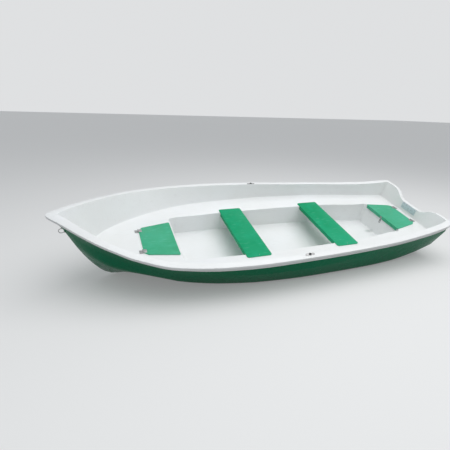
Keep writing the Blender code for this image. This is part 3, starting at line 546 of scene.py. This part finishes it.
def linerEdgeShare(edge, l):
    # how far one edge of the moulding is rounded, from where it lies
    if len(edge.link_faces) != 2:
        return 0.0
    turn = edge.calc_face_angle()
    if turn < radians(linerEdges["flatTurn"]):
        return 0.0
    height = aboveLedge((edge.verts[0].co + edge.verts[1].co) / 2)
    if not edge.is_convex and height < linerEdges["coveBelow"]:
        return l["cove"] if turn > radians(linerEdges["coveTurn"]) else l["cutCorner"]
    if height < linerEdges["wellBelow"]:
        return l["wellEdge"]
    ups = [(turnBack @ face.normal).z for face in edge.link_faces]
    if edge.is_convex and max(ups) > linerEdges["topUp"]:
        return l["gunwaleEdge"]
    return l["stepEdge"] if edge.is_convex else 0.0


def treeOf(nodeName):
    data = bpy.data.objects[nodeName].data
    return BVHTree.FromPolygons([vertex.co for vertex in data.vertices],
                                [tuple(face.vertices) for face in data.polygons])


def openWays(place, lean):
    # up and inboard, out to the nearer side, and out past the nearer end
    side = 1.0 if place.y > 0.0 else -1.0
    end = 1.0 if place.x > boatFrame["middleX"] else -1.0
    ways = ((0.0, -lean * side, 1.0), (-lean * end, 0.0, 1.0), (0.0, side, 0.0),
            (end, 0.0, 0.0))
    return [boatTurn @ Vector(way).normalized() for way in ways]


def makeLiner(l):
    piece = takeNode("liner", "linerMoulding", l["flatTwist"])
    bpy.ops.mesh.select_mode(type="FACE")
    mesh = bmesh.from_edit_mesh(piece.data)
    trees = [treeOf("liner"), treeOf("hull")]
    sockets = []
    for side in ("port", "starboard"):
        low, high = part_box("rowlock_socket_" + side)
        sockets.append((Vector(low) + Vector(high)) / 2)
    # the skin that is kept has an open way up or out; the hidden skin is made again from it
    for face in mesh.faces:
        centre = face.calc_center_median()
        start = centre + face.normal * l["wall"] * l["startOff"]
        up = (turnBack @ face.normal).z
        hole = abs(up) < l["sideUp"] and any(
            (centre.xy - place.xy).length < l["socketReach"]
            and abs(centre.z - place.z) < l["socketDepth"] for place in sockets)
        seen = any(all(tree.ray_cast(start, way, l["lookLength"])[0] is None for tree in trees)
                   for way in openWays(worldToBoat @ centre, l["lookLean"]))
        face.select = hole or up < l["underUp"] or not seen
    bmesh.update_edit_mesh(piece.data)
    bpy.ops.mesh.delete(type="FACE")
    mesh = bmesh.from_edit_mesh(piece.data)
    sole = boatToWorld @ Vector(l["solePoint"])
    seed = min(mesh.faces, key=lambda face: (face.calc_center_median() - sole).length)
    seed.select = True
    mesh.faces.active = seed
    bmesh.update_edit_mesh(piece.data)
    bpy.ops.mesh.select_linked()
    bpy.ops.mesh.select_all(action="INVERT")
    bpy.ops.mesh.delete(type="FACE")
    print("liner skin", len(bmesh.from_edit_mesh(piece.data).faces))
    # short edges and the triangles of flat faces would spoil the rounding
    bpy.ops.mesh.select_all(action="SELECT")
    bpy.ops.mesh.dissolve_degenerate(threshold=l["shortest"])
    bpy.ops.mesh.tris_convert_to_quads(face_threshold=radians(l["wallTwist"]),
                                       shape_threshold=pi)
    bpy.ops.mesh.select_all(action="DESELECT")
    mesh = bmesh.from_edit_mesh(piece.data)
    for face in mesh.faces:
        face.select = max(aboveLedge(vertex.co) for vertex in face.verts) < l["ledgeSlack"]
    bmesh.update_edit_mesh(piece.data)
    bpy.ops.mesh.dissolve_limited(angle_limit=radians(l["flatFaces"]))
    mesh = bmesh.from_edit_mesh(piece.data)
    weights = weightLayer(mesh)
    for edge in mesh.edges:
        edge[weights] = linerEdgeShare(edge, l)
    bmesh.update_edit_mesh(piece.data)
    roundByWeight(piece, l["roundest"], l["segments"], l["wall"])
    bpy.ops.object.shade_smooth_by_angle(angle=radians(l["smooth"]))
    finishPiece(piece, "boat", ["liner"], "liner")
    print("liner faces", len(piece.data.polygons))


makeLiner(linerLook)

hullLook = {
    "shortest": 0.0015,
    "rounding": 0.008,
    "knuckle": 0.45,  # shares of the rounding
    "keel": 0.4,
    "transomEdge": 1.0,
    "plainStem": (0.325, 0.382),  # heights on the stem where the bilge runs out, left sharp
    "segments": 3,
    "edgeTurns": (50.0, 26.0, 7.0),  # degrees past which an edge is transom, keel or knuckle
    "keelHalf": 0.01,
    "rimUp": 0.8,
    "lengthwise": 0.6,
    "stemBefore": 0.3,
    "smooth": 30.0,
}


def makeHull(h):
    piece = takeNode("hull", "hullShell")
    bpy.ops.mesh.select_all(action="SELECT")
    bpy.ops.mesh.dissolve_degenerate(threshold=h["shortest"])
    bpy.ops.mesh.select_all(action="DESELECT")
    mesh = bmesh.from_edit_mesh(piece.data)
    weights = weightLayer(mesh)
    transomTurn, keelTurn, knuckleTurn = (radians(turn) for turn in h["edgeTurns"])
    low, high = h["plainStem"]
    for edge in mesh.edges:
        if len(edge.link_faces) != 2 or not edge.is_convex:
            continue
        turn = edge.calc_face_angle()
        if max((turnBack @ face.normal).z for face in edge.link_faces) > h["rimUp"]:
            continue  # the rim, which the lip hides
        along = (edge.verts[1].co - edge.verts[0].co).normalized()
        place = worldToBoat @ ((edge.verts[0].co + edge.verts[1].co) / 2)
        if place.x < h["stemBefore"] and low < place.z < high:
            continue
        if turn > keelTurn and abs(place.y) < h["keelHalf"]:
            edge[weights] = h["keel"]
        elif turn > transomTurn:
            edge[weights] = h["transomEdge"]
        elif turn > knuckleTurn and abs(along.x) > h["lengthwise"]:
            edge[weights] = h["knuckle"]
    bmesh.update_edit_mesh(piece.data)
    roundByWeight(piece, h["rounding"], h["segments"])
    bpy.ops.object.shade_smooth_by_angle(angle=radians(h["smooth"]))
    finishPiece(piece, "boat", ["hull"], "hull")
    print("hull faces", len(piece.data.polygons))


makeHull(hullLook)


# Seats, lids and metalwork keep the CAD's forms, with their edges eased
def easeNode(nodeName, pieceName, body, finish, ease, limit=40, smooth=50):
    piece = takeNode(nodeName, pieceName)
    bpy.ops.object.mode_set(mode="OBJECT")
    eased = piece.modifiers.new("eased", "BEVEL")
    eased.width = ease
    eased.segments = 2
    eased.limit_method = "ANGLE"
    eased.angle_limit = radians(limit)
    evened = piece.modifiers.new("evened", "WEIGHTED_NORMAL")
    evened.keep_sharp = True
    applyAll(piece)
    bpy.ops.object.shade_smooth_by_angle(angle=radians(smooth))
    finishPiece(piece, body, [nodeName], finish)


panels = {
    "ease": 0.0012,
    "pieces": (("thwart_front", "frontSeat", "boat", "panel"),
               ("thwart_rear", "rearSeat", "boat", "panel"),
               ("bow_lid", "bowLidPanel", "bow_lid", "lid"),
               ("stern_lid", "sternLidPanel", "stern_lid", "lid")),
}
for nodeName, pieceName, body, finish in panels["pieces"]:
    easeNode(nodeName, pieceName, body, finish, panels["ease"])

fittings = {
    "ease": 0.0005,
    "limit": 50,
    "smooth": 38,
    "plateEase": 0.0012,
    "bushEase": 0.0008,
    "pieces": (("hasp", "haspStrap", "boat"), ("staple", "staplePlate", "stern_lid"),
               ("rowlock_plate_port", "rowlockPlatePort", "boat"),
               ("rowlock_plate_starboard", "rowlockPlateStarboard", "boat"),
               ("bow_hinge_port_lid_leaf", "bowHingePortLidLeaf", "bow_lid"),
               ("bow_hinge_port_deck_leaf", "bowHingePortDeckLeaf", "boat"),
               ("bow_hinge_starboard_lid_leaf", "bowHingeStarboardLidLeaf", "bow_lid"),
               ("bow_hinge_starboard_deck_leaf", "bowHingeStarboardDeckLeaf", "boat"),
               ("stern_hinge_port_lid_leaf", "sternHingePortLidLeaf", "stern_lid"),
               ("stern_hinge_port_deck_leaf", "sternHingePortDeckLeaf", "boat"),
               ("stern_hinge_starboard_lid_leaf", "sternHingeStarboardLidLeaf", "stern_lid"),
               ("stern_hinge_starboard_deck_leaf", "sternHingeStarboardDeckLeaf", "boat")),
}
for nodeName, pieceName, body in fittings["pieces"]:
    easeNode(nodeName, pieceName, body, "steel", fittings["ease"], fittings["limit"],
             fittings["smooth"])
easeNode("motor_plate", "motorPlate", "boat", "plate", fittings["plateEase"])
for side in ("port", "starboard"):
    easeNode("rowlock_socket_" + side, "rowlockBush" + side.title(), "boat", "socket",
             fittings["bushEase"], fittings["limit"], fittings["smooth"])
print("panels and fittings eased")

screwLook = {
    "radius": 0.0034,
    "height": 0.0013,
    "dome": 0.0008,
    "crossLength": 0.0036,
    "crossWidth": 0.0009,
    "crossDepth": 0.0012,
    "turnEach": 0.7,
    "startBack": 0.05,
    "castReach": 0.2,
}


def makeScrewHead(s):
    deselectAll()
    bpy.ops.mesh.primitive_cylinder_add(vertices=24, radius=s["radius"], depth=s["height"],
                                        location=(0.0, 0.0, s["height"] / 2))
    head = bpy.context.object
    head.name = "screwHead"
    bpy.ops.object.transform_apply(location=True)
    crown = head.modifiers.new("crown", "BEVEL")
    crown.width = s["dome"]
    crown.segments = 3
    crown.limit_method = "ANGLE"
    applyAll(head)
    bars = []
    for turn in (0.0, pi / 2):
        deselectAll()
        bpy.ops.mesh.primitive_cube_add(size=1.0)
        bar = bpy.context.object
        bar.scale = (s["crossLength"], s["crossWidth"], s["crossDepth"])
        bar.rotation_euler = (0.0, 0.0, turn)
        bar.location = (0.0, 0.0, s["height"])
        bars.append(bar)
    for bar in bars:
        deselectAll()
        bpy.context.view_layer.objects.active = head
        head.select_set(True)
        cut = head.modifiers.new("cross", "BOOLEAN")
        cut.operation = "DIFFERENCE"
        cut.solver = "EXACT"
        cut.object = bar
        bpy.ops.object.modifier_apply(modifier=cut.name)
        bpy.data.objects.remove(bar, do_unlink=True)
    return head


def surfaceUnder(nodeName, point, towards):
    # where a line from the point first meets the CAD node, and the surface's normal there
    start = point - towards * screwLook["startBack"]
    place, normal = treeOf(nodeName).ray_cast(start, towards, screwLook["castReach"])[:2]
    if place is None:
        raise ValueError("no surface under a screw on " + nodeName)
    return place, normal


def boatBox(nodeName):
    # lowest and highest corners in the boat's own frame
    points = [worldToBoat @ vertex.co for vertex in bpy.data.objects[nodeName].data.vertices]
    low = Vector([min(point[axis] for point in points) for axis in range(3)])
    high = Vector([max(point[axis] for point in points) for axis in range(3)])
    return low, high


def setScrews(pieceName, body, head, places):
    deselectAll()
    copies = []
    for number, (place, normal) in enumerate(places):
        turn = normal.to_track_quat("Z", "Y").to_matrix().to_4x4()
        spin = Matrix.Rotation(screwLook["turnEach"] * number, 4, "Z")
        copy = bpy.data.objects.new(pieceName + str(number), head.data.copy())
        copy.data.transform(Matrix.Translation(place) @ turn @ spin)
        bpy.context.scene.collection.objects.link(copy)
        copies.append(copy)
    for copy in copies:
        copy.select_set(True)
    bpy.context.view_layer.objects.active = copies[0]
    bpy.ops.object.join()
    piece = bpy.context.object
    piece.name = pieceName
    bpy.ops.object.shade_smooth_by_angle(angle=radians(40))
    finishPiece(piece, body, [], "steel")


screwSpots = {
    "leafSide": 0.016,
    "leafFar": 0.008,
    "plateSide": 0.098,
    "plateEdge": 0.013,
    "rowlockAlong": 0.036,
    "seatEnd": 0.024,
}


def leafPlaces(nodeName, lidIsAft, s):
    # two screws near the leaf's free edge, which points away from the pin
    low, high = boatBox(nodeName)
    onLid = "lid_leaf" in nodeName
    x = high.x - s["leafFar"] if onLid == lidIsAft else low.x + s["leafFar"]
    middle = (low.y + high.y) / 2
    down = boatTurn @ Vector((0.0, 0.0, -1.0))
    return [surfaceUnder(nodeName, boatToWorld @ Vector((x, middle + side * s["leafSide"],
                                                        high.z)), down) for side in (-1, 1)]


def makeScrews(s):
    head = makeScrewHead(screwLook)
    down = boatTurn @ Vector((0.0, 0.0, -1.0))
    onBoat, onBow, onStern = [], [], []
    for side in ("port", "starboard"):
        onBow += leafPlaces("bow_hinge_" + side + "_lid_leaf", True, s)
        onStern += leafPlaces("stern_hinge_" + side + "_lid_leaf", False, s)
        onBoat += leafPlaces("bow_hinge_" + side + "_deck_leaf", True, s)
        onBoat += leafPlaces("stern_hinge_" + side + "_deck_leaf", False, s)
        low, high = boatBox("rowlock_plate_" + side)
        middle = (low + high) / 2
        for step in (-1, 1):
            point = boatToWorld @ Vector((middle.x + step * s["rowlockAlong"], middle.y, high.z))
            onBoat.append(surfaceUnder("rowlock_plate_" + side, point, down))
    for nodeName in ("thwart_front", "thwart_rear"):
        low, high = boatBox(nodeName)
        for y in (low.y + s["seatEnd"], high.y - s["seatEnd"]):
            point = boatToWorld @ Vector(((low.x + high.x) / 2, y, high.z))
            onBoat.append(surfaceUnder(nodeName, point, down))
    low, high = boatBox("motor_plate")
    aft = boatTurn @ Vector((1.0, 0.0, 0.0))
    for y in (-s["plateSide"], s["plateSide"]):
        for z in (low.z + s["plateEdge"], high.z - s["plateEdge"]):
            point = boatToWorld @ Vector((low.x, y, z))
            onBoat.append(surfaceUnder("motor_plate", point, aft))
    setScrews("deckScrews", "boat", head, onBoat)
    setScrews("bowLidScrews", "bow_lid", head, onBow)
    setScrews("sternLidScrews", "stern_lid", head, onStern)
    bpy.data.objects.remove(head, do_unlink=True)


makeScrews(screwSpots)
print("screws set")
